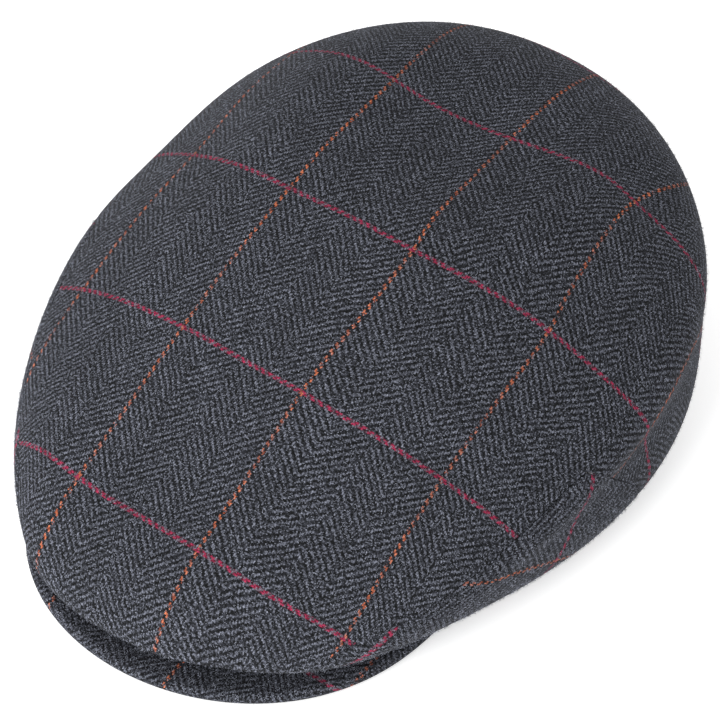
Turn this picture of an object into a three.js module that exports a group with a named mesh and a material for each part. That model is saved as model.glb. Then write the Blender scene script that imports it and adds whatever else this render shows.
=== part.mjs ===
import * as THREE from 'three';

// Soft flat cap in millimetres. +Z is up, the peak points along -Y and the hem lies on z = 0.

const CLOTH_THICKNESS = 2.4;
const PANEL_GAP = 0.3;
const CROWN_TILT = 0.2;
const NORMAL_STEP = 1e-4;
const NORMAL_TURN = 0.1;
const TOP_POINT_LEVEL = 0.995;
const SAME_PLACE = 1e-6;
const HALVINGS = 40;
const DEG = Math.PI / 180;

const CLOTH_COLOUR = '#424249';
const CLOTH_ROUGHNESS = 0.95;

// Rings of the crown's outer face, from the hem up to the middle of the top.
// level is the place of a ring on the way up; front, back and middle are y values, and middle is where
// the ring is widest; a fullness below 1 squares the ring's outline.
const RING_COLUMNS = [
  'level', 'front', 'back', 'middle', 'halfWidth', 'zFront', 'zSide', 'zBack', 'fullness',
];
const CROWN_RINGS = [
  [0.00, -84, 118.0, 20, 84.0, 0.0, 0.0, 0.0, 0.96],
  [0.10, -85, 121.0, 22, 100.0, 8.2, 7.6, 13.0, 0.98],
  [0.22, -107, 126.0, 25, 108.0, 8.8, 22.0, 27.0, 0.97],
  [0.34, -130, 131.0, 23, 106.0, 15.0, 40.0, 47.0, 0.90],
  [0.46, -118, 133.7, 19, 106.0, 32.5, 53.0, 73.0, 0.94],
  [0.64, -84, 109.0, 24, 73.0, 50.5, 77.5, 92.0, 0.91],
  [0.82, -38, 63.0, 20, 42.5, 73.0, 88.5, 93.5, 1.00],
  [1.00, 16, 16.0, 16, 0.0, 92.0, 92.0, 92.0, 1.00],
];

// Soft hollows in the cloth, and swellings where depth is negative: where each one is, how far it
// reaches and how deep it goes.
const DENT_COLUMNS = ['angle', 'level', 'reach', 'depth'];
const DENTS = [
  [263, 0.50, 22, 3.0],
  [129, 0.59, 11, 3.0],
  [341, 0.37, 18, -2.6],
  [16, 0.37, 16, 2.2],
];

// The half-moon side panel. Its foot runs along the hem, and its seam climbs from the front to the ear
// and drops behind it. Angles are counted from the front of the cap.
const SIDE_FOOT_FRONT = 14;
const SIDE_FOOT_BACK = 92;
const SEAM_COLUMNS = ['angle', 'level'];
const SIDE_SEAM = [
  [30, 0.320],
  [34, 0.375],
  [38, 0.400],
  [45, 0.410],
  [56, 0.448],
  [65, 0.474],
  [75, 0.488],
  [79, 0.484],
  [82, 0.445],
];

// The peak: a crescent that starts at the crown's front wall and ends level with the crown's front edge.
const PEAK_THICKNESS = 5.0;
const PEAK_TOP = 7.0;
const PEAK_DROOP_FRONT = 0.5;
const PEAK_DROOP_SIDE = 0.6;
const PEAK_ROOT_ANGLE = 46;
const PEAK_ROOT_GAP = 1.1;
const PEAK_FRONT = -134.0;
const PEAK_HALF_WIDTH = 77;
const PEAK_END_Y = -54;
const PEAK_SHAPE = 0.88;
const PEAK_SKEW = 0.03;

const COUNTS = {
  frontHem: 3,
  panelEnd: 10,
  seam: 13,
  backHem: 16,
  peakAcross: 40,
  peakAlong: 7,
  peakEdge: 6,
};
const TOP_LEVELS = [
  0, 0.04, 0.07, 0.1, 0.16, 0.22, 0.26, 0.3, 0.34, 0.38, 0.42, 0.46, 0.5, 0.55, 0.64, 0.73, 0.82, 0.91, 1,
];
const LEAST_LEVEL_STEP = 0.008;

function namedRows(columns, rows) {
  return rows.map((row) => Object.fromEntries(columns.map((name, i) => [name, row[i]])));
}

const rings = namedRows(RING_COLUMNS, CROWN_RINGS);
const dents = namedRows(DENT_COLUMNS, DENTS);
const seam = namedRows(SEAM_COLUMNS, SIDE_SEAM);

// How fast a column of the ring table changes with level at ring i; the top is a smooth tilted plane.
function ringSlope(i, name) {
  const last = rings.length - 1;
  const slopeAfter = (k, key) => (rings[k + 1][key] - rings[k][key]) / (rings[k + 1].level - rings[k].level);
  if (i === 0) {
    return slopeAfter(0, name);
  }
  if (i === last) {
    const tilted = { zFront: 'front', zBack: 'back' };
    if (name === 'zSide') {
      return 0;
    }
    return name in tilted ? CROWN_TILT * slopeAfter(last - 1, tilted[name]) : slopeAfter(last - 1, name);
  }
  const before = rings[i].level - rings[i - 1].level;
  const after = rings[i + 1].level - rings[i].level;
  return (slopeAfter(i - 1, name) * after + slopeAfter(i, name) * before) / (before + after);
}

// One column of the ring table at any level, as a smooth curve through the rows.
function ringValue(name, level) {
  let i = 0;
  while (i < rings.length - 2 && level > rings[i + 1].level) {
    i += 1;
  }
  const span = rings[i + 1].level - rings[i].level;
  const t = (level - rings[i].level) / span;
  const t2 = t * t;
  const t3 = t2 * t;
  return (2 * t3 - 3 * t2 + 1) * rings[i][name]
    + (t3 - 2 * t2 + t) * span * ringSlope(i, name)
    + (3 * t2 - 2 * t3) * rings[i + 1][name]
    + (t3 - t2) * span * ringSlope(i + 1, name);
}

const power = (value, exponent) => Math.sign(value) * Math.abs(value) ** exponent;

// A point of the smooth crown at an angle (degrees from the front, towards +X) and a level.
function smoothPoint(angle, level) {
  const ring = Object.fromEntries(RING_COLUMNS.slice(1).map((name) => [name, ringValue(name, level)]));
  const c = Math.cos(angle * DEG);
  const s = Math.sin(angle * DEG);
  const reach = c > 0 ? ring.middle - ring.front : ring.back - ring.middle;
  const lift = ((ring.zFront + ring.zBack) / 2 - ring.zSide) / 2;
  return new THREE.Vector3(
    ring.halfWidth * power(s, ring.fullness),
    ring.middle - reach * power(c, ring.fullness),
    ring.zSide + lift + ((ring.zFront - ring.zBack) / 2) * c + lift * Math.cos(2 * angle * DEG),
  );
}

// The outward normal of a surface that is a function of angle and level.
function surfaceNormal(pointAt, angle, level) {
  if (level > TOP_POINT_LEVEL) {
    return new THREE.Vector3(0, -CROWN_TILT, 1).normalize();
  }
  const low = Math.max(level - NORMAL_STEP, 0);
  const along = pointAt(angle + NORMAL_TURN, level).sub(pointAt(angle - NORMAL_TURN, level));
  const upward = pointAt(angle, level + NORMAL_STEP).sub(pointAt(angle, low));
  return along.cross(upward).normalize();
}

const dentCentres = dents.map((dent) => smoothPoint(dent.angle, dent.level));

// A point of the crown's outer face: the smooth crown pressed in by the dents, which fade out at the hem.
function crownPoint(angle, level) {
  const point = smoothPoint(angle, level);
  const fade = Math.min(level / rings[1].level, 1);
  const pressed = dents.reduce((sum, dent, i) => {
    const away = point.distanceTo(dentCentres[i]) / dent.reach;
    return sum + dent.depth * Math.exp(-away * away / 2);
  }, 0);
  return point.addScaledVector(surfaceNormal(smoothPoint, angle, level), -pressed * fade);
}

// The outward normal of the crown; it is kept level along the hem, so that the hem's lower face is flat.
function crownNormal(angle, level) {
  const normal = surfaceNormal(crownPoint, angle, level);
  if (level === 0) {
    normal.z = 0;
  }
  return normal.normalize();
}

// The level of the side panel's seam at an angle between its first and last rows.
function seamLevel(angle) {
  let i = 0;
  while (i < seam.length - 2 && angle > seam[i + 1].angle) {
    i += 1;
  }
  const t = (angle - seam[i].angle) / (seam[i + 1].angle - seam[i].angle);
  return THREE.MathUtils.lerp(seam[i].level, seam[i + 1].level, t);
}

const SEAM_FIRST = seam[0];
const SEAM_LAST = seam[seam.length - 1];

function evenSteps(from, to, count) {
  return Array.from({ length: count }, (_, i) => from + ((to - from) * i) / count);
}

// The top panel's lower edge on the +X half, from the middle of the front to the middle of the back.
function topEdgeHalf() {
  const frontHem = evenSteps(0, SIDE_FOOT_FRONT, COUNTS.frontHem).map((angle) => ({ angle, level: 0 }));
  const frontEnd = evenSteps(0, 1, COUNTS.panelEnd).map((t) => ({
    angle: THREE.MathUtils.lerp(SIDE_FOOT_FRONT, SEAM_FIRST.angle, t),
    level: SEAM_FIRST.level * t,
  }));
  const seamPart = evenSteps(SEAM_FIRST.angle, SEAM_LAST.angle, COUNTS.seam)
    .map((angle) => ({ angle, level: seamLevel(angle) }));
  const backEnd = evenSteps(1, 0, COUNTS.panelEnd).map((t) => ({
    angle: THREE.MathUtils.lerp(SIDE_FOOT_BACK, SEAM_LAST.angle, t),
    level: SEAM_LAST.level * t,
  }));
  const backHem = evenSteps(SIDE_FOOT_BACK, 180, COUNTS.backHem).map((angle) => ({ angle, level: 0 }));
  return [...frontHem, ...frontEnd, ...seamPart, ...backEnd, ...backHem];
}

// Half of the panel gap as a step along the cloth, away from the seam and into the top panel.
function gapStep(before, here, after) {
  const along = crownPoint(after.angle, after.level).sub(crownPoint(before.angle, before.level));
  const step = crownNormal(here.angle, here.level).cross(along);
  if (here.level === 0) {
    step.z = 0;
  }
  return step.setLength(PANEL_GAP / 2);
}

// The same four corners counted from the next one, which cuts a quad along its other diagonal.
const turned = ([a, b, c, d]) => [b, c, d, a];

// A closed solid between two grids of points with the same rows and columns.
// With a ring grid the columns close on themselves, the last row is a single point, and each column
// starts at its own row of firstRows, so that the lower edge can climb across the rows.
// The left half of a ring and a mirrored grid are cut into triangles as mirror images of the right.
function closedShell(outer, inner, firstRows, isMirrored) {
  const isRing = firstRows.length > 0;
  const rows = outer.length;
  const columns = outer[0].length;
  const positions = [...outer.flat(), ...inner.flat()].flatMap((p) => [p.x, p.y, p.z]);
  const column = (c) => (isRing ? c % columns : c);
  const at = (layer, r, c) => {
    const row = isRing ? Math.max(r, firstRows[column(c)]) : r;
    const onTop = isRing && row === rows - 1;
    return layer * rows * columns + row * columns + (onTop ? 0 : column(c));
  };
  const index = [];
  const quad = (a, b, c, d) => {
    for (const face of [[a, b, c], [a, c, d]]) {
      if (new Set(face).size === 3) {
        index.push(...(isMirrored ? face.reverse() : face));
      }
    }
  };
  const lastColumn = isRing ? columns : columns - 1;
  for (let r = 0; r < rows - 1; r += 1) {
    for (let c = 0; c < lastColumn; c += 1) {
      const onLeft = isRing && c >= columns / 2;
      const front = [at(0, r, c), at(0, r, c + 1), at(0, r + 1, c + 1), at(0, r + 1, c)];
      const rear = [at(1, r, c), at(1, r + 1, c), at(1, r + 1, c + 1), at(1, r, c + 1)];
      quad(...(onLeft ? turned(front) : front));
      quad(...(onLeft ? turned(rear) : rear));
    }
  }
  for (let c = 0; c < lastColumn; c += 1) {
    const onLeft = isRing && c >= columns / 2;
    const foot = [at(1, 0, c), at(1, 0, c + 1), at(0, 0, c + 1), at(0, 0, c)];
    quad(...(onLeft ? turned(foot) : foot));
    if (!isRing) {
      quad(at(0, rows - 1, c + 1), at(1, rows - 1, c + 1), at(1, rows - 1, c), at(0, rows - 1, c));
    }
  }
  if (!isRing) {
    for (let r = 0; r < rows - 1; r += 1) {
      quad(at(1, r, 0), at(0, r, 0), at(0, r + 1, 0), at(1, r + 1, 0));
      quad(at(0, r, lastColumn), at(1, r, lastColumn), at(1, r + 1, lastColumn), at(0, r + 1, lastColumn));
    }
  }
  const geometry = new THREE.BufferGeometry();
  geometry.setAttribute('position', new THREE.Float32BufferAttribute(positions, 3));
  geometry.setIndex(index);
  geometry.computeVertexNormals();
  return geometry;
}

const insideOf = (point, normal) => point.clone().addScaledVector(normal, -CLOTH_THICKNESS);

function topPanelGeometry() {
  const half = topEdgeHalf();
  const mirrored = half.slice(1).reverse().map((p) => ({ angle: 360 - p.angle, level: p.level }));
  const edge = [...half, { angle: 180, level: 0 }, ...mirrored];
  const steps = edge.map((here, i) => {
    const before = edge[(i + edge.length - 1) % edge.length];
    const after = edge[(i + 1) % edge.length];
    const onHem = before.level === 0 && here.level === 0 && after.level === 0;
    return onHem ? new THREE.Vector3() : gapStep(before, here, after);
  });
  const firstRows = edge.map((here) => {
    return TOP_LEVELS.findLastIndex((level) => level <= here.level + LEAST_LEVEL_STEP);
  });
  const outer = [];
  const inner = [];
  TOP_LEVELS.forEach((rowLevel, r) => {
    const levels = edge.map((here, i) => (r > firstRows[i] ? rowLevel : here.level));
    const points = edge.map((here, i) => {
      const point = crownPoint(here.angle, levels[i]);
      return r > firstRows[i] ? point : point.add(steps[i]);
    });
    outer.push(points);
    inner.push(points.map((point, i) => insideOf(point, crownNormal(edge[i].angle, levels[i]))));
  });
  return closedShell(outer, inner, firstRows, false);
}

// One place on the side panel: s runs from its front end to its back end and t from the hem to the seam.
function sidePlace(s, t) {
  const seamAngle = THREE.MathUtils.lerp(SEAM_FIRST.angle, SEAM_LAST.angle, s);
  const footAngle = THREE.MathUtils.lerp(SIDE_FOOT_FRONT, SIDE_FOOT_BACK, s);
  return { angle: THREE.MathUtils.lerp(footAngle, seamAngle, t), level: seamLevel(seamAngle) * t };
}

// The side panel; side is 1 for +X and -1 for its mirror image.
function sidePanelGeometry(side) {
  const onSide = (place) => ({ angle: side > 0 ? place.angle : 360 - place.angle, level: place.level });
  const outline = topEdgeHalf().map(onSide);
  const nearest = (place) => outline.findIndex(
    (p) => Math.hypot(p.angle - place.angle, p.level - place.level) < SAME_PLACE,
  );
  const outer = [];
  const inner = [];
  for (let r = 0; r <= COUNTS.panelEnd; r += 1) {
    const places = Array.from({ length: COUNTS.seam + 1 }, (_, c) => {
      return onSide(sidePlace(c / COUNTS.seam, r / COUNTS.panelEnd));
    });
    const points = places.map((place, c) => {
      const point = crownPoint(place.angle, place.level);
      const atEdge = r === COUNTS.panelEnd || c === 0 || c === COUNTS.seam;
      const i = atEdge ? nearest(place) : -1;
      if (i > 0) {
        const step = gapStep(outline[i - side], place, outline[i + side]);
        point.sub(step);
      }
      return point;
    });
    outer.push(points);
    inner.push(points.map((point, c) => insideOf(point, crownNormal(places[c].angle, places[c].level))));
  }
  return closedShell(outer, inner, [], side < 0);
}

// The place on the crown's lower wall that is at a height, found by halving the span of levels.
function wallAtHeight(angle, height) {
  let low = 0;
  let high = rings[1].level;
  for (let i = 0; i < HALVINGS; i += 1) {
    const middle = (low + high) / 2;
    if (smoothPoint(angle, middle).z < height) {
      low = middle;
    } else {
      high = middle;
    }
  }
  return smoothPoint(angle, low).addScaledVector(crownNormal(angle, 0), PEAK_ROOT_GAP);
}

// The peak's outer edge, half a thickness inside its rim; across runs from -1 to 1 over its width.
function peakEdge(across) {
  const turn = (across * Math.PI) / 2;
  const depth = PEAK_END_Y - PEAK_FRONT - PEAK_THICKNESS / 2;
  const x = (PEAK_HALF_WIDTH - PEAK_THICKNESS / 2) * Math.sin(turn);
  return new THREE.Vector3(x, PEAK_END_Y - depth * Math.cos(turn) ** PEAK_SHAPE + PEAK_SKEW * x, 0);
}

// One face of the peak from the crown's wall to the edge; drop is 0 for the top, 1 for the underside.
function peakFace(across, drop) {
  const base = PEAK_TOP - PEAK_DROOP_SIDE * across * across - drop * PEAK_THICKNESS;
  const root = wallAtHeight(across * PEAK_ROOT_ANGLE, base);
  const edge = peakEdge(across);
  return Array.from({ length: COUNTS.peakAlong + 1 }, (_, i) => {
    const along = i / COUNTS.peakAlong;
    return root.clone().lerp(edge, along).setZ(base - PEAK_DROOP_FRONT * along * along);
  });
}

// One closed section of the peak: along the underside, round the outer edge and back over the top.
function peakSection(across) {
  const top = peakFace(across, 0);
  const bottom = peakFace(across, 1);
  const tip = top[top.length - 1];
  const ahead = tip.clone().sub(top[top.length - 2]).setZ(0).normalize();
  const radius = PEAK_THICKNESS / 2;
  const middle = tip.z - radius;
  const round = Array.from({ length: COUNTS.peakEdge - 1 }, (_, i) => {
    const turn = Math.PI * ((i + 1) / COUNTS.peakEdge);
    return tip.clone().addScaledVector(ahead, radius * Math.sin(turn)).setZ(middle - radius * Math.cos(turn));
  });
  return [...bottom, ...round, ...top.reverse()];
}

function peakGeometry() {
  const sections = Array.from({ length: COUNTS.peakAcross + 1 }, (_, i) => {
    return peakSection((2 * i) / COUNTS.peakAcross - 1);
  });
  const size = sections[0].length;
  const last = sections.length - 1;
  const positions = sections.flat().flatMap((p) => [p.x, p.y, p.z]);
  const at = (s, k) => s * size + (k % size);
  const index = [];
  for (let s = 0; s < last; s += 1) {
    for (let k = 0; k < size; k += 1) {
      index.push(at(s, k), at(s + 1, k), at(s + 1, k + 1));
      index.push(at(s, k), at(s + 1, k + 1), at(s, k + 1));
    }
  }
  for (let k = 1; k < size - 1; k += 1) {
    index.push(at(0, 0), at(0, k), at(0, k + 1));
    index.push(at(last, 0), at(last, k + 1), at(last, k));
  }
  const geometry = new THREE.BufferGeometry();
  geometry.setAttribute('position', new THREE.Float32BufferAttribute(positions, 3));
  geometry.setIndex(index);
  geometry.computeVertexNormals();
  return geometry;
}

function clothMesh(name, geometry) {
  const material = new THREE.MeshStandardMaterial({
    color: CLOTH_COLOUR,
    roughness: CLOTH_ROUGHNESS,
    metalness: 0,
  });
  material.name = name;
  const mesh = new THREE.Mesh(geometry, material);
  mesh.name = name;
  return mesh;
}

const group = new THREE.Group();
group.name = 'flat_cap';
group.add(
  clothMesh('top_panel', topPanelGeometry()),
  clothMesh('side_panel_left', sidePanelGeometry(1)),
  clothMesh('side_panel_right', sidePanelGeometry(-1)),
  clothMesh('peak', peakGeometry()),
);

export default group;
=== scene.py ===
"""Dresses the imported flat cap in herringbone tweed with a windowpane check, on a pale floor."""

import logging
import math
from collections.abc import Callable
from dataclasses import astuple, dataclass, fields
from enum import Enum
from itertools import chain
from typing import TypeAlias

import bpy
import numpy as np
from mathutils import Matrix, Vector


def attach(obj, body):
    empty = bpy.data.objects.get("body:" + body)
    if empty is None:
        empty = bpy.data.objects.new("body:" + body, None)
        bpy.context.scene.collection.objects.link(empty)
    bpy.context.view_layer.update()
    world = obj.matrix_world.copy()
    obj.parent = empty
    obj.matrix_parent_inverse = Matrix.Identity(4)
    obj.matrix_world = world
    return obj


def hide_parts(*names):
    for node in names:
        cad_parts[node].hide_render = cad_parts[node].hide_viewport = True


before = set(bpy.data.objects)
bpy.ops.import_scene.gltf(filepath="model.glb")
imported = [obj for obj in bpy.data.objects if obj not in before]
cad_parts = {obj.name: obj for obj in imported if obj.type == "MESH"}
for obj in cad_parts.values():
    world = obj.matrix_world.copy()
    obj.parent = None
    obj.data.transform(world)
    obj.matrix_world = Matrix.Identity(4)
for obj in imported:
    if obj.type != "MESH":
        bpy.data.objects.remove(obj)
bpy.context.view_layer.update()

log = logging.getLogger("flat_cap")

MM = 0.001
BODY = "root"
TINY = 1e-12
CLOTH_UV = "cloth"

Array = np.ndarray
Axes = tuple[Array, Array]
Colour = tuple[float, float, float]
Surface = Callable[[Array, Array], Array]
Source: TypeAlias = "Signal | bpy.types.NodeSocket | float | Colour"


class Side(Enum):
    """The wearer's side that a piece is on, as a sign along X."""

    LEFT = 1
    RIGHT = -1


@dataclass(frozen=True)
class Lift:
    """A straight line: how much a value counts, and what is added to it."""

    gain: float
    base: float


class Signal:
    """A value inside a material that is worked on like a number."""

    def __init__(self, tree: bpy.types.NodeTree, socket: bpy.types.NodeSocket) -> None:
        """Holds the tree that the value lives in and the socket that gives it."""
        self.tree = tree
        self.socket = socket

    def _math(self, operation: str, *values: "Signal | float") -> "Signal":
        """Puts a Math node after the given values.

        Args:
            operation: the Math node's operation.
            values: signals or plain numbers, in the node's order.

        Returns:
            The node's result.
        """
        node = self.tree.nodes.new("ShaderNodeMath")
        node.operation = operation
        for place, value in zip(node.inputs, values):
            feed(self.tree, place, value)
        return Signal(self.tree, node.outputs[0])

    def __add__(self, other: "Signal | float") -> "Signal":
        """The sum."""
        return self._math("ADD", self, other)

    def __sub__(self, other: "Signal | float") -> "Signal":
        """The difference."""
        return self._math("SUBTRACT", self, other)

    def __rsub__(self, other: float) -> "Signal":
        """A plain number less this value."""
        return self._math("SUBTRACT", other, self)

    def __mul__(self, other: "Signal | float") -> "Signal":
        """The product."""
        return self._math("MULTIPLY", self, other)

    def __truediv__(self, other: float) -> "Signal":
        """The quotient."""
        return self._math("DIVIDE", self, other)

    def floor(self) -> "Signal":
        """The whole number below."""
        return self._math("FLOOR", self)

    def modulo(self, period: float) -> "Signal":
        """The rest after whole periods, never negative."""
        return self._math("FLOORED_MODULO", self, period)

    def below(self, limit: float) -> "Signal":
        """1 where the value is under a limit, else 0."""
        return self._math("LESS_THAN", self, limit)

    def arch(self) -> "Signal":
        """A parabola that is 0 at 0 and at 1, and 1 halfway."""
        return self * (1.0 - self) * 4.0

    def lifted(self, lift: Lift) -> "Signal":
        """The value's place on a straight line."""
        return self * lift.gain + lift.base

    def between(self, low: "Signal", high: "Signal") -> "Signal":
        """A value between two others, where this one runs from 0 to 1.

        Args:
            low: the value at 0.
            high: the value at 1.

        Returns:
            The value between them.
        """
        node = self.tree.nodes.new("ShaderNodeMix")
        feed(self.tree, node.inputs["Factor"], self)
        feed(self.tree, node.inputs["A"], low)
        feed(self.tree, node.inputs["B"], high)
        return Signal(self.tree, node.outputs["Result"])

    def ramp(self, low: float, high: float) -> "Signal":
        """A soft step.

        Args:
            low: where the step is still 0.
            high: where it has come to 1.

        Returns:
            The step's value.
        """
        node = self.tree.nodes.new("ShaderNodeMapRange")
        node.interpolation_type = "SMOOTHSTEP"
        feed(self.tree, node.inputs["From Min"], low)
        feed(self.tree, node.inputs["From Max"], high)
        feed(self.tree, node.inputs["Value"], self)
        return Signal(self.tree, node.outputs["Result"])


def feed(tree: bpy.types.NodeTree, place: bpy.types.NodeSocket, value: Source) -> None:
    """Gives a socket its value.

    Args:
        tree: the material's node tree.
        place: the socket.
        value: a signal or another socket to link it to, or else a plain number or colour.
    """
    if isinstance(value, Signal):
        tree.links.new(value.socket, place)
    elif isinstance(value, bpy.types.NodeSocket):
        tree.links.new(value, place)
    else:
        place.default_value = (*value, 1.0) if isinstance(value, tuple) else value


def linear(red: int, green: int, blue: int) -> Colour:
    """A screen colour as linear light, by the curve of standard screens.

    Args:
        red: the red channel, from 0 to 255.
        green: the green channel.
        blue: the blue channel.

    Returns:
        The three channels, from 0 to 1.
    """
    channels = np.array([red, green, blue]) / 255.0
    light = np.where(channels <= 0.04045, channels / 12.92, ((channels + 0.055) / 1.055) ** 2.4)
    return tuple(float(value) for value in light)


@dataclass(frozen=True)
class Mottle:
    """Soft noise: its lumps in a unit of length, its finer layers, and the span that turns into 0 to 1."""

    scale: float
    detail: float
    low: float = 0.0
    high: float = 1.0


class FinishNodes:
    """A new material and its shader, with what its finish is mixed from."""

    def __init__(self, name: str) -> None:
        """Starts the material.

        Args:
            name: the material's name.
        """
        self.material = bpy.data.materials.new(name)
        self.material.use_nodes = True
        self.tree = self.material.node_tree
        self.shader = self.tree.nodes["Principled BSDF"]

    def set(self, values: dict[str, Source]) -> None:
        """Sets or links the shader's sockets, by their names."""
        for name, value in values.items():
            feed(self.tree, self.shader.inputs[name], value)

    def noise(self, mottle: Mottle, place: bpy.types.NodeSocket, dimensions: str) -> Signal:
        """Soft noise around a half.

        Args:
            mottle: the noise's scale and detail.
            place: the coordinates that it is laid over.
            dimensions: how many of them count, in the noise node's words.

        Returns:
            The noise.
        """
        node = self.tree.nodes.new("ShaderNodeTexNoise")
        node.noise_dimensions = dimensions
        feed(self.tree, node.inputs["Scale"], mottle.scale)
        feed(self.tree, node.inputs["Detail"], mottle.detail)
        feed(self.tree, node.inputs["Vector"], place)
        return Signal(self.tree, node.outputs["Fac"])

    def blend(self, share: Source, low: Source, high: Source, mode: str = "MIX") -> bpy.types.NodeSocket:
        """Mixes two colours.

        Args:
            share: how much of the second colour there is, from 0 to 1.
            low: the first colour.
            high: the second colour.
            mode: the way of mixing.

        Returns:
            The socket with the mixed colour.
        """
        node = self.tree.nodes.new("ShaderNodeMix")
        node.data_type = "RGBA"
        node.blend_type = mode
        first, second = [place for place in node.inputs if place.type == "RGBA"]
        feed(self.tree, node.inputs["Factor"], share)
        feed(self.tree, first, low)
        feed(self.tree, second, high)
        return next(result for result in node.outputs if result.type == "RGBA")


class ClothNodes(FinishNodes):
    """A material whose patterns lie on the flat cloth, with lengths in millimetres."""

    def __init__(self, name: str) -> None:
        """Starts the material with the cloth's two coordinates, across the warp and along it.

        Args:
            name: the material's name.
        """
        super().__init__(name)
        place = self.tree.nodes.new("ShaderNodeUVMap")
        place.uv_map = CLOTH_UV
        self.flat = place.outputs["UV"]
        parts = self.tree.nodes.new("ShaderNodeSeparateXYZ")
        feed(self.tree, parts.inputs[0], self.flat)
        self.across = Signal(self.tree, parts.outputs["X"])
        self.along = Signal(self.tree, parts.outputs["Y"])

    def lumps(self, mottle: Mottle) -> Signal:
        """Soft noise over the flat cloth, on both sides of 0."""
        return self.noise(mottle, self.flat, "2D") - 0.5

    def mottled(self, mottle: Mottle) -> Signal:
        """Noise over the flat cloth that steps softly from 0 to 1 over its span."""
        return self.noise(mottle, self.flat, "2D").ramp(mottle.low, mottle.high)

    def shaded(self, colour: bpy.types.NodeSocket, shade: Signal) -> bpy.types.NodeSocket:
        """A colour made darker or lighter.

        Args:
            colour: the socket that gives the colour.
            shade: what its three channels are multiplied by.

        Returns:
            The socket with the shaded colour.
        """
        grey = self.tree.nodes.new("ShaderNodeCombineColor")
        for channel in grey.inputs:
            feed(self.tree, channel, shade)
        return self.blend(1.0, colour, grey.outputs["Color"], "MULTIPLY")


@dataclass(frozen=True)
class Weave:
    """Signals of the threads: place on the cloth, loose fuzz, 1 where the warp is on top, and relief."""

    across: Signal
    along: Signal
    fuzz: Signal
    warp_up: Signal
    height: Signal


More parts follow.
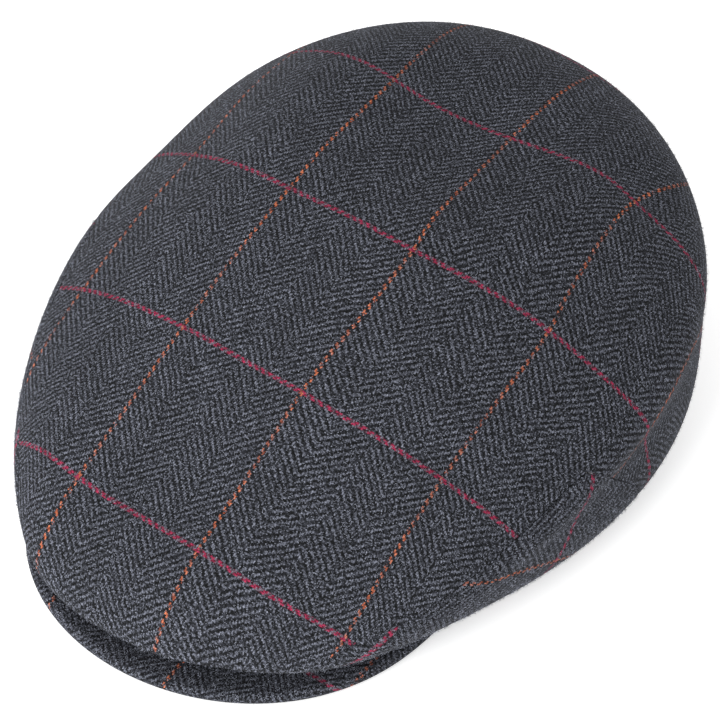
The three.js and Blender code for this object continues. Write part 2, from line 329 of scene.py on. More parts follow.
@dataclass(frozen=True)
class TweedFinish:
    """A brushed wool twill that turns back on itself in stripes, with a windowpane check of two colours.

    Lengths are in millimetres on the flat cloth, apart from the relief's, which is in metres. A stripe,
    the warp line's repeat and the weft line's repeat are counts of threads.
    """

    name: str
    thread: float = 52.0 / 72.0
    stripe: int = 18
    warp_repeat: int = 72
    weft_repeat: int = 86
    float_threads: int = 2
    float_arch: Lift = Lift(0.6, 0.4)
    weft_sink: float = 0.8
    wander: float = 0.4
    wander_lumps: Mottle = Mottle(0.16, 2.0)
    fuzz: float = 0.6
    fuzz_lumps: Mottle = Mottle(2.0, 1.0)

    warp_low: Colour = linear(30, 32, 36)
    warp_high: Colour = linear(106, 109, 121)
    weft_low: Colour = linear(8, 9, 10)
    weft_high: Colour = linear(22, 23, 27)
    melange: Mottle = Mottle(1.1, 2.0, 0.36, 0.64)
    brushed_low: Colour = linear(14, 15, 18)
    brushed_high: Colour = linear(55, 57, 65)
    brushing: float = 0.7
    veil: Mottle = Mottle(0.5, 3.0, 0.36, 0.66)
    speck: Colour = linear(140, 144, 157)
    specks: float = 0.7
    speckle: Mottle = Mottle(1.5, 1.0, 0.64, 0.74)

    warm_low: Colour = linear(130, 62, 42)
    warm_high: Colour = linear(196, 112, 76)
    warm_width: float = 1.4
    red_low: Colour = linear(106, 22, 47)
    red_high: Colour = linear(160, 48, 80)
    red_width: float = 1.6
    red_under: float = 0.14
    ragged: Mottle = Mottle(0.7, 2.0, 0.3, 0.56)
    faded: Mottle = Mottle(0.03, 1.0, 0.35, 0.6)
    line_wear: Lift = Lift(0.35, 0.65)

    # painted shade: the colour darkens with the threads' relief, where they dip between floats
    relief_shade: Lift = Lift(0.5, 0.55)
    slub: Mottle = Mottle(0.07, 2.0, 0.25, 0.75)
    slub_shade: Lift = Lift(0.2, 0.9)
    fleck: Mottle = Mottle(2.4, 1.0, 0.3, 0.7)
    fleck_shade: Lift = Lift(0.6, 0.68)

    roughness: float = 0.95
    specular: float = 0.2
    sheen: float = 0.05
    sheen_roughness: float = 0.25
    sheen_tint: Colour = (0.82, 0.84, 0.92)
    relief: float = 0.00025
    relief_strength: float = 0.7
    fuzz_relief: float = 0.5

    def _weave(self, cloth: ClothNodes) -> Weave:
        """Crosses the threads.

        A warp thread lies on top where its number, counted backwards in every other stripe, and the weft
        thread's number add up to 0 or 1 in fours. That gives slanting ribs that change direction at each
        stripe. Each float is arched both ways. That makes the relief, and the painted shade that darkens
        the colour where the threads dip between floats.

        Args:
            cloth: the material and its coordinates.

        Returns:
            The threads' signals.
        """
        wander = cloth.lumps(self.wander_lumps) * self.wander
        fuzz = cloth.lumps(self.fuzz_lumps)
        across = cloth.across + wander + fuzz * self.fuzz
        along = cloth.along - wander + fuzz * self.fuzz
        warp = (across / self.thread).floor()
        weft = (along / self.thread).floor()
        in_warp = across / self.thread - warp
        in_weft = along / self.thread - weft
        turned = (warp / self.stripe).floor().modulo(2.0)
        sign = 1.0 - turned * 2.0
        step = (weft + sign * warp + turned * self.float_threads).modulo(2.0 * self.float_threads)
        warp_up = step.below(self.float_threads - 0.5)
        weft_middle = 1.5 * self.float_threads - 0.5
        on_warp = (step + in_weft) / self.float_threads
        on_weft = (sign * (step - weft_middle) + 0.5 + in_warp) / self.float_threads
        warp_height = in_warp.arch() * on_warp.arch().lifted(self.float_arch)
        weft_height = in_weft.arch() * on_weft.arch().lifted(self.float_arch) * self.weft_sink
        return Weave(across, along, fuzz, warp_up, warp_up.between(weft_height, warp_height))

    def _greys(self, cloth: ClothNodes, weave: Weave, melange: Signal) -> bpy.types.NodeSocket:
        """Colours the plain threads, brushes them over and sprinkles pale specks on them.

        Args:
            cloth: the material and its coordinates.
            weave: the threads' signals.
            melange: how pale the wool is, from 0 to 1.

        Returns:
            The socket with the colour.
        """
        warp = cloth.blend(melange, self.warp_low, self.warp_high)
        weft = cloth.blend(melange, self.weft_low, self.weft_high)
        brushed = cloth.blend(melange, self.brushed_low, self.brushed_high)
        threads = cloth.blend(weave.warp_up, weft, warp)
        veiled = cloth.blend(cloth.mottled(self.veil) * self.brushing, threads, brushed)
        return cloth.blend(cloth.mottled(self.speckle) * self.specks, veiled, self.speck)

    def _checked(self, cloth: ClothNodes, weave: Weave, melange: Signal,
                 greys: bpy.types.NodeSocket) -> bpy.types.NodeSocket:
        """Draws the check's orange warp lines and red weft lines over the plain threads.

        Args:
            cloth: the material and its coordinates.
            weave: the threads' signals.
            melange: how pale the wool is, from 0 to 1.
            greys: the socket with the plain threads' colour.

        Returns:
            The socket with the colour.
        """
        warm = cloth.blend(melange, self.warm_low, self.warm_high)
        red = cloth.blend(melange, self.red_low, self.red_high)
        warm_at = weave.across + self.warm_width / 2
        is_warm = warm_at.modulo(self.warp_repeat * self.thread).below(self.warm_width)
        red_at = weave.along + self.red_width / 2
        is_red = red_at.modulo(self.weft_repeat * self.thread).below(self.red_width)
        ragged = cloth.mottled(self.ragged)
        faded = cloth.mottled(self.faded).lifted(self.line_wear)
        red_share = (1.0 - weave.warp_up * (1.0 - self.red_under)) * ragged.lifted(self.line_wear)
        warmed = cloth.blend(is_warm * weave.warp_up * ragged * faded, greys, warm)
        return cloth.blend(is_red * red_share, warmed, red)

    def material(self) -> bpy.types.Material:
        """Builds the cloth's material from its threads.

        Returns:
            The material.
        """
        cloth = ClothNodes(self.name)
        weave = self._weave(cloth)
        melange = cloth.mottled(self.melange)
        threads = self._checked(cloth, weave, melange, self._greys(cloth, weave, melange))
        slub = cloth.mottled(self.slub).lifted(self.slub_shade)
        fleck = cloth.mottled(self.fleck).lifted(self.fleck_shade)
        # painted shade between the threads from their relief, times the random tone of slubs and flecks
        colour = cloth.shaded(threads, weave.height.lifted(self.relief_shade) * slub * fleck)
        bump = cloth.tree.nodes.new("ShaderNodeBump")
        feed(cloth.tree, bump.inputs["Strength"], self.relief_strength)
        feed(cloth.tree, bump.inputs["Distance"], self.relief)
        feed(cloth.tree, bump.inputs["Height"], weave.height + weave.fuzz * self.fuzz_relief)
        cloth.set({
            "Base Color": colour,
            "Normal": bump.outputs["Normal"],
            "Roughness": self.roughness,
            "Specular IOR Level": self.specular,
            "Sheen Weight": self.sheen,
            "Sheen Roughness": self.sheen_roughness,
            "Sheen Tint": self.sheen_tint,
        })
        return cloth.material


@dataclass(frozen=True)
class Ring:
    """One level ring of the crown: places along Y, half of its width, heights and how square it is."""

    level: float
    front: float
    back: float
    middle: float
    half_width: float
    z_front: float
    z_side: float
    z_back: float
    fullness: float


@dataclass(frozen=True)
class Dent:
    """A soft hollow in the crown, or a swelling where its depth is negative."""

    angle: float
    level: float
    reach: float
    depth: float


@dataclass(frozen=True)
class CrownForm:
    """The crown's outer face as a smooth surface over an angle from the front and a level from the hem.

    Lengths are in millimetres and angles in degrees.
    """

    tilt: float = 0.2
    turn_step: float = 0.1
    level_step: float = 1e-4
    top_from: float = 0.995
    rings: tuple[Ring, ...] = (
        Ring(0.00, -84, 118.0, 20, 84.0, 0.0, 0.0, 0.0, 0.96),
        Ring(0.10, -85, 121.0, 22, 100.0, 8.2, 7.6, 13.0, 0.98),
        Ring(0.22, -107, 126.0, 25, 108.0, 8.8, 22.0, 27.0, 0.97),
        Ring(0.34, -130, 131.0, 23, 106.0, 15.0, 40.0, 47.0, 0.90),
        Ring(0.46, -118, 133.7, 19, 106.0, 32.5, 53.0, 73.0, 0.94),
        Ring(0.64, -84, 109.0, 24, 73.0, 50.5, 77.5, 92.0, 0.91),
        Ring(0.82, -38, 63.0, 20, 42.5, 73.0, 88.5, 93.5, 1.00),
        Ring(1.00, 16, 16.0, 16, 0.0, 92.0, 92.0, 92.0, 1.00),
    )
    dents: tuple[Dent, ...] = (
        Dent(263, 0.50, 22, 3.0),
        Dent(129, 0.59, 11, 3.0),
        Dent(341, 0.37, 18, -2.6),
        Dent(16, 0.37, 16, 2.2),
    )

    def _columns(self, level: Array) -> list[Array]:
        """The rings' columns at any level, as cubic curves through the rows.

        The slope at a row is the mean of the slopes to both sides of it, and the shorter side counts more.
        At the top the heights follow a plane that tips towards the front.

        Args:
            level: levels from 0 at the hem to 1 at the top.

        Returns:
            One array for each column after the level.
        """
        table = np.array([astuple(ring) for ring in self.rings])
        knots, values = table[:, 0], table[:, 1:]
        spans = np.diff(knots)
        rises = np.diff(values, axis=0) / spans[:, None]
        slopes = np.empty_like(values)
        slopes[[0, -1]] = rises[[0, -1]]
        slopes[1:-1] = rises[:-1] * spans[1:, None] + rises[1:] * spans[:-1, None]
        slopes[1:-1] /= (spans[:-1] + spans[1:])[:, None]
        column = {item.name: place for place, item in enumerate(fields(Ring)[1:])}
        slopes[-1, column["z_front"]] = self.tilt * rises[-1, column["front"]]
        slopes[-1, column["z_side"]] = 0.0
        slopes[-1, column["z_back"]] = self.tilt * rises[-1, column["back"]]
        i = np.clip(np.searchsorted(knots, level, side="right") - 1, 0, len(knots) - 2)
        t = ((level - knots[i]) / spans[i])[..., None]
        span = spans[i][..., None]
        curve = (
            (2 * t**3 - 3 * t**2 + 1) * values[i]
            + (t**3 - 2 * t**2 + t) * span * slopes[i]
            + (3 * t**2 - 2 * t**3) * values[i + 1]
            + (t**3 - t**2) * span * slopes[i + 1]
        )
        return [curve[..., k] for k in range(values.shape[1])]

    def smooth(self, angle: Array, level: Array) -> Array:
        """Points of the crown before it is dented.

        Seen from above a ring is an oval whose sine and cosine are raised to its fullness, with its own
        reach to the front and to the back. Its height swings from front to back with the cosine, and
        between those two and the sides with the cosine of twice the angle.

        Args:
            angle: degrees from the front, towards +X.
            level: levels from 0 to 1, of the same shape.

        Returns:
            Points with X, Y and Z along the last axis.
        """
        front, back, middle, half_width, z_front, z_side, z_back, fullness = self._columns(level)
        turn = np.radians(angle)
        c, s = np.cos(turn), np.sin(turn)
        reach = np.where(c > 0, middle - front, back - middle)
        lift = ((z_front + z_back) / 2 - z_side) / 2
        return np.stack([
            half_width * np.sign(s) * np.abs(s) ** fullness,
            middle - reach * np.sign(c) * np.abs(c) ** fullness,
            z_side + lift + (z_front - z_back) / 2 * c + lift * np.cos(2 * turn),
        ], axis=-1)

    def _normals(self, surface: Surface, angle: Array, level: Array) -> Array:
        """Outward normals of a surface, as the cross product of a step round it and a step up it.

        Args:
            surface: the points at an angle and a level.
            angle: degrees from the front, towards +X.
            level: levels from 0 to 1, of the same shape.

        Returns:
            Unit normals.
        """
        above = np.minimum(level + self.level_step, 1.0)
        below = np.maximum(level - self.level_step, 0.0)
        along = surface(angle + self.turn_step, level) - surface(angle - self.turn_step, level)
        upward = surface(angle, above) - surface(angle, below)
        normals = np.cross(along, upward)
        lengths = np.linalg.norm(normals, axis=-1, keepdims=True)
        top = np.array([0.0, -self.tilt, 1.0]) / math.hypot(self.tilt, 1.0)
        return np.where(level[..., None] > self.top_from, top, normals / np.maximum(lengths, TINY))

    def point(self, angle: Array, level: Array) -> Array:
        """Points of the crown, pressed in along the normal by a bell curve at each dent.

        Args:
            angle: degrees from the front, towards +X.
            level: levels from 0 to 1, of the same shape.

        Returns:
            Points with X, Y and Z along the last axis.
        """
        points = self.smooth(angle, level)
        pressed = np.zeros(points.shape[:-1])
        for dent in self.dents:
            centre = self.smooth(np.array(float(dent.angle)), np.array(dent.level))
            away = np.linalg.norm(points - centre, axis=-1) / dent.reach
            pressed += dent.depth * np.exp(-away**2 / 2)
        pressed *= np.minimum(level / self.rings[1].level, 1.0)
        return points - self._normals(self.smooth, angle, level) * pressed[..., None]

    def normal(self, angle: Array, level: Array) -> Array:
        """Outward normals of the dented crown."""
        return self._normals(self.point, angle, level)

    def wall_normal(self, angle: Array, level: Array) -> Array:
        """Outward normals of the dented crown, level where the hem stands on the floor.

        Args:
            angle: degrees from the front, towards +X.
            level: levels from 0 to 1, of the same shape.

        Returns:
            Unit normals.
        """
        normals = self.normal(angle, level)
        normals[level == 0] *= np.array([1.0, 1.0, 0.0])
        return normals / np.linalg.norm(normals, axis=-1, keepdims=True)


@dataclass(frozen=True)
class SideSeam:
    """Where a side panel is sewn to the top: its two feet on the hem, and rows of an angle and a level."""

    front_foot: float = 14.0
    back_foot: float = 92.0
    rows: tuple[tuple[float, float], ...] = (
        (30, 0.320), (34, 0.375), (38, 0.400), (45, 0.410), (56, 0.448), (65, 0.474), (75, 0.488),
        (79, 0.484), (82, 0.445),
    )

    def top_edge(self, angle: Array) -> Array:
        """The level of the top panel's lower edge, on the hem outside the feet, the same on both sides.

        Args:
            angle: degrees from the front, towards +X.

        Returns:
            The levels.
        """
        edge = ((0, 0), (self.front_foot, 0), *self.rows, (self.back_foot, 0), (180, 0))
        angles, levels = np.array(edge).T
        return np.interp(np.abs((angle + 180) % 360 - 180), angles, levels)

    def side_place(self, share: Array, height: Array) -> tuple[Array, Array]:
        """A place on the side panel.

        The foot's angle and the seam's angle run evenly from the front end to the back end, and a column
        goes straight from its foot to its seam.

        Args:
            share: shares of the way from the front end to the back end.
            height: shares of the way from the hem to the seam, of the same shape.

        Returns:
            The angles and the levels.
        """
        angles, levels = np.array(self.rows).T
        seam_angle = angles[0] + (angles[-1] - angles[0]) * share
        foot_angle = self.front_foot + (self.back_foot - self.front_foot) * share
        angle = foot_angle + (seam_angle - foot_angle) * height
        return angle, np.interp(seam_angle, angles, levels) * height


@dataclass(frozen=True)
class Crossing:
    """Where an orange line and a red line of the check cross on the crown, by angle and level.

    Where only one of the lines passes, the other's number has a fraction for the way to the next line.
    """

    orange: float
    red: float
    angle: float
    level: float


@dataclass(frozen=True)
class SideMark:
    """A place of a side panel, by its shares of the length and height, and where it lies on the cloth."""

    share: float
    height: float
    across: float
    along: float


def carried_axes(normals: Array, least_tip: float = 0.02) -> Axes:
    """The flat cloth's two directions where it comes down from the top of the crown.

    They are carried by the shortest turn that tips the upright to the surface's normal.

    Args:
        normals: unit normals.
        least_tip: the least that one and the normal's height add up to.

    Returns:
        The direction across the warp and the direction along it.
    """
    nx, ny, nz = np.moveaxis(normals, -1, 0)
    share = 1.0 / np.maximum(1.0 + nz, least_tip)
    across = np.stack([1 - nx * nx * share, -nx * ny * share, -nx], axis=-1)
    along = np.stack([-nx * ny * share, 1 - ny * ny * share, -ny], axis=-1)
    return across, along


def wall_axes(normals: Array, grain: float) -> Axes:
    """The flat cloth's two directions where it stands as a wall.

    One starts level along the wall and the other straight up it, and both are turned within the cloth.

    Args:
        normals: unit normals.
        grain: degrees that the warp is turned towards the level direction.

    Returns:
        The direction across the warp and the direction along it.
    """
    level = np.stack([-normals[..., 1], normals[..., 0], np.zeros(normals.shape[:-1])], axis=-1)
    level /= np.linalg.norm(level, axis=-1, keepdims=True)
    upward = np.cross(normals, level)
    c, s = math.cos(math.radians(grain)), math.sin(math.radians(grain))
    return c * level - s * upward, c * upward + s * level


@dataclass(frozen=True)
class Pin:
    """A point of a panel and the place of the flat cloth that belongs there, in millimetres."""

    point: Array
    place: tuple[float, float]


def lay_cloth(points: Array, axes: Axes, is_ring: bool, pins: list[Pin], firmness: float = 1.0,
              reach: float = 11.0, hold: float = 8.0, shortest: float = 0.3) -> Array:
    """Finds where each point of a surface lies on the flat cloth.

    Every edge and diagonal of the grid wants its length along the cloth's two directions to be its length
    on the flat cloth, and the edges that run upwards want it more than the others where the cloth is
    shrunk in round the wall. Each pin wants the patch around it, weighted by a bell curve, to lie at its
    place on average. The least squares answer is one linear system.

    Args:
        points: a grid of points; the last row of a ring is a single point.
        axes: the cloth's two directions there.
        is_ring: whether the columns close on themselves.
        pins: the places that are known.
        firmness: how much more an upward edge counts than another edge.
        reach: how wide the patch around a pin is.
        hold: how firmly a pin holds.
        shortest: the length below which an edge counts no more for being short.

    Returns:
        The grid's places on the flat cloth.
    """
    rows, columns = points.shape[:2]
    index = np.arange(rows * columns).reshape(rows, columns)
    if is_ring:
        index[-1] = index[-1, 0]
    after = np.roll(index, -1, axis=1)
    inner = slice(None) if is_ring else slice(0, -1)
    edges = (
        (index[:, inner], after[:, inner], 1.0),
        (index[:-1], index[1:], firmness),
        (index[:-1, inner], after[1:, inner], 1.0),
        (after[:-1, inner], index[1:, inner], 1.0),
    )
    pairs = np.concatenate([np.stack([start, end], axis=-1).reshape(-1, 2) for start, end, _ in edges])
    firm = np.concatenate([np.full(start.size, share) for start, _, share in edges])
    is_edge = pairs[:, 0] != pairs[:, 1]
    used, pairs = np.unique(pairs[is_edge], return_inverse=True)
    a, b = pairs.reshape(-1, 2).T
    count = len(used)
    used_points = points.reshape(-1, 3)[used]
    used_axes = [axis.reshape(-1, 3)[used] for axis in axes]
    steps = used_points[b] - used_points[a]
    weight = firm[is_edge] / np.maximum(np.linalg.norm(steps, axis=1), shortest)
    wanted = np.stack([np.sum((axis[a] + axis[b]) / 2 * steps, axis=1) for axis in used_axes], axis=1)
    system = np.zeros((count, count))
    np.add.at(system, (a, a), weight)
    np.add.at(system, (b, b), weight)
    np.add.at(system, (a, b), -weight)
    np.add.at(system, (b, a), -weight)
    right = np.zeros((count, 2))
    np.add.at(right, b, wanted * weight[:, None])
    np.add.at(right, a, -wanted * weight[:, None])
    for pin in pins:
        away = used_points - pin.point
        shares = np.exp(-np.sum(away**2, axis=1) / (2 * reach**2))
        shares /= shares.sum()
        aside = np.array([shares @ np.sum(axis * away, axis=1) for axis in used_axes])
        system += hold * np.outer(shares, shares)
        right += hold * np.outer(shares, np.array(pin.place) + aside)
    number = np.zeros(rows * columns, dtype=int)
    number[used] = np.arange(count)
    return np.linalg.solve(system, right)[number[index]]


def between_rows(values: Array, places: Array) -> Array:
    """The rows of an array at places that may lie between whole numbers, in a straight line.

    Args:
        values: the array.
        places: row numbers, whole or not.

    Returns:
        A row for each place.
    """
    low = np.clip(places.astype(int), 0, len(values) - 2)
    share = (places - low).reshape(-1, *([1] * (values.ndim - 1)))
    return values[low] * (1 - share) + values[low + 1] * share


def on_true_points(flat: Array, rough: Array, points: Array, axes: Axes) -> Array:
    """Moves places on the cloth from the points they were worked out for to the true points.

    The step between the two points is measured along the cloth's two directions.

    Args:
        flat: places on the flat cloth.
        rough: the points that those places belong to.
        points: the true points of the surface, close by.
        axes: the cloth's two directions there.

    Returns:
        The true points' places on the flat cloth.
    """
    return flat + np.stack([np.sum(axis * (points - rough), axis=-1) for axis in axes], axis=-1)


def make_piece(name: str, vertices: Array, faces: list[Array], flat: Array, material: bpy.types.Material) -> bpy.types.Object:
    """Makes a smooth mesh object that rides on the cap.

    Args:
        name: the piece's name.
        vertices: points in millimetres.
        faces: arrays of corner numbers, an array for each corner count.
        flat: each vertex's place on the flat cloth, in millimetres.
        material: the finish.

    Returns:
        The object.
    """
    mesh = bpy.data.meshes.new(name)
    corners = list(chain.from_iterable(group.tolist() for group in faces))
    mesh.from_pydata((vertices * MM).tolist(), [], corners)
    mesh.polygons.foreach_set("use_smooth", np.ones(len(mesh.polygons), dtype=bool))
    loops = np.empty(len(mesh.loops), dtype=np.int32)
    mesh.loops.foreach_get("vertex_index", loops)
    layer = mesh.uv_layers.new(name=CLOTH_UV)
    layer.data.foreach_set("uv", flat[loops].astype(np.float32).ravel())
    mesh.materials.append(material)
    mesh.update()
    piece = bpy.data.objects.new(name, mesh)
    bpy.context.scene.collection.objects.link(piece)
    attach(piece, BODY)
    log.info("%s: %d vertices, %d faces", name, len(mesh.vertices), len(mesh.polygons))
    return piece


def sheet_faces(numbers: Array) -> Array:
    """Quads between the neighbouring rows and columns of a grid of vertex numbers."""
    low, high = numbers[:-1], numbers[1:]
    return np.stack([low[:, :-1], low[:, 1:], high[:, 1:], high[:, :-1]], axis=-1).reshape(-1, 4)


@dataclass(frozen=True)
class NapFinish:
    """Loose wool fibres, each of an even grey between two tones, with lengths in metres."""

    name: str
    low: Colour = linear(52, 54, 61)
    high: Colour = linear(164, 168, 182)
    tones: Mottle = Mottle(420.0, 1.0, 0.35, 0.7)
    roughness: float = 1.0
    specular: float = 0.1

    def material(self) -> bpy.types.Material:
        """Builds the fibres' material, with a tone that changes from fibre to fibre.

        Returns:
            The material.
        """
        nodes = FinishNodes(self.name)
        place = nodes.tree.nodes.new("ShaderNodeTexCoord").outputs["Object"]
        tone = nodes.noise(self.tones, place, "3D").ramp(self.tones.low, self.tones.high)
        nodes.set({
            "Base Color": nodes.blend(tone, self.low, self.high),
            "Roughness": self.roughness,
            "Specular IOR Level": self.specular,
        })
        return nodes.material


@dataclass
class WoolNap:
    """Short bent fibres that stand off a face of the cloth.

    A fibre is a three-sided spike in two lengths: corners 0 to 2 lie round its foot, 3 to 5 round its
    bend, and 6 is its tip. Lengths are in millimetres and angles in degrees.
    """

    finish: bpy.types.Material
    seed: int
    radius: float = 0.06
    taper: float = 0.8
    foot_depth: float = 0.4
    lengths: tuple[float, float] = (0.8, 2.0)
    leans: tuple[float, float] = (12.0, 48.0)
    bend: float = 35.0
    lowest: float = 13.0
    walls: tuple[tuple[int, ...], ...] = ((0, 1, 4, 3), (1, 2, 5, 4), (2, 0, 3, 5))
    ends: tuple[tuple[int, ...], ...] = ((0, 2, 1), (3, 4, 6), (4, 5, 6), (5, 3, 6))

    def _scatter(self, rng: np.random.Generator, points: Array, normals: Array,
                 count: int) -> tuple[Array, Array]:
        """Picks places on a grid, evenly by area and above the lowest height.

        Args:
            rng: the source of random numbers.
            points: a grid of points.
            normals: the outward normals there.
            count: how many places there are.

        Returns:
            The places and the unit normals there.
        """
        near, far = points[:-1, :-1], points[1:, 1:]
        sizes = np.linalg.norm(np.cross(points[:-1, 1:] - near, points[1:, :-1] - near), axis=-1)
        sizes = np.where(np.minimum(near[..., 2], far[..., 2]) > self.lowest, sizes, 0.0).ravel()
        cell = rng.choice(len(sizes), size=count, p=sizes / sizes.sum())
        row, column = np.divmod(cell, points.shape[1] - 1)
        up, on = rng.random((2, count, 1))

        def inside(grid: Array) -> Array:
            """The grid's values at the chosen places of the chosen cells, in straight lines.

            Args:
                grid: a grid of values.

            Returns:
                A row for each place.
            """
            low = grid[row, column] * (1 - on) + grid[row, column + 1] * on
            high = grid[row + 1, column] * (1 - on) + grid[row + 1, column + 1] * on
            return low * (1 - up) + high * up

        normal = inside(normals)
        return inside(points), normal / np.linalg.norm(normal, axis=-1, keepdims=True)

    def build(self, name: str, slot: str, points: Array, normals: Array, count: int) -> bpy.types.Object:
        """Scatters fibres over a grid and joins them into one mesh.

        A fibre leans over the cloth in a random direction, and its outer half is bent further down.

        Args:
            name: the piece's name.
            slot: the record's material slot; not used.
            points: a grid of points on the cloth's face.
            normals: the outward normals there.
            count: how many fibres there are.

        Returns:
            The piece.
        """
        rng = np.random.default_rng(self.seed)
        root, normal = self._scatter(rng, points, normals, count)
        tangent = np.cross(normal, rng.normal(size=(count, 3)))
        tangent /= np.linalg.norm(tangent, axis=-1, keepdims=True)
        beside = np.cross(normal, tangent)
        length = rng.uniform(*self.lengths, size=(count, 1)) / 2
        lean = np.radians(rng.uniform(*self.leans, size=(count, 1)))
        turned = np.radians(rng.uniform(-self.bend, self.bend, size=(count, 1)))
        dropped = lean - np.radians(rng.uniform(0, self.bend, size=(count, 1)))
        middle = root + length * (tangent * np.cos(lean) + normal * np.sin(lean))
        ahead = tangent * np.cos(turned) + beside * np.sin(turned)
        tip = middle + length * (ahead * np.cos(dropped) + normal * np.sin(dropped))
        foot = root - normal * self.foot_depth

        turns = np.radians([90.0, 210.0, 330.0])[None, :, None]
        corner = beside[:, None] * np.cos(turns) + normal[:, None] * np.sin(turns)
        foot_ring = foot[:, None] + corner * self.radius
        bend_ring = middle[:, None] + corner * self.radius * self.taper
        vertices = np.concatenate([foot_ring, bend_ring, tip[:, None]], axis=1)
        size = vertices.shape[1]
        start = (np.arange(count) * size)[:, None, None]
        walls = (start + np.array(self.walls)).reshape(-1, 4)
        ends = (start + np.array(self.ends)).reshape(-1, 3)
        flat = np.zeros((count * size, 2))
        return make_piece(name, vertices.reshape(-1, 3), [walls, ends], flat, self.finish)


@dataclass
class Panel:
    """What the crown's cloth panels share: their seam, the wall's thickness and its rolled edge."""

    crown: CrownForm
    seam: SideSeam
    finish: bpy.types.Material
    nap: WoolNap
    thickness: float = 2.4
    roll_depth: float = 0.15
    roll_reach: float = 0.6

    def _rolled(self, points: Array, normals: Array, from_edge: Array, inward: float) -> Array:
        """A face of the wall, drawn into the wall close to the edge.

        The draw falls off with the distance from the edge as an exponential.

        Args:
            points: the face's points.
            normals: the outward normals.
            from_edge: each point's distance from the edge.
            inward: 1 for the outer face and -1 for the inner face.

        Returns:
            The moved points.
        """
        drawn = self.roll_depth * np.exp(-from_edge / self.roll_reach)
        return points - normals * (inward * drawn)[..., None]

    def _declare(self, piece: bpy.types.Object, fibres: bpy.types.Object, points: Array, flat: Array,
                 rests_on: list[str]) -> None:
        """Works out the cross products of the two triangles in each cell of the outer face, and keeps
        nothing.

        Args:
            piece: the panel; not used.
            fibres: the nap on it; not used.
            points: the grid of its outer face, in millimetres.
            flat: the grid's places on the flat cloth; not used.
            rests_on: the nodes that it is sewn to; not used.
        """
        first = np.cross(points[:-1, 1:] - points[:-1, :-1], points[1:, :-1] - points[:-1, :-1])
        second = np.cross(points[:-1, 1:] - points[1:, 1:], points[1:, :-1] - points[1:, 1:])


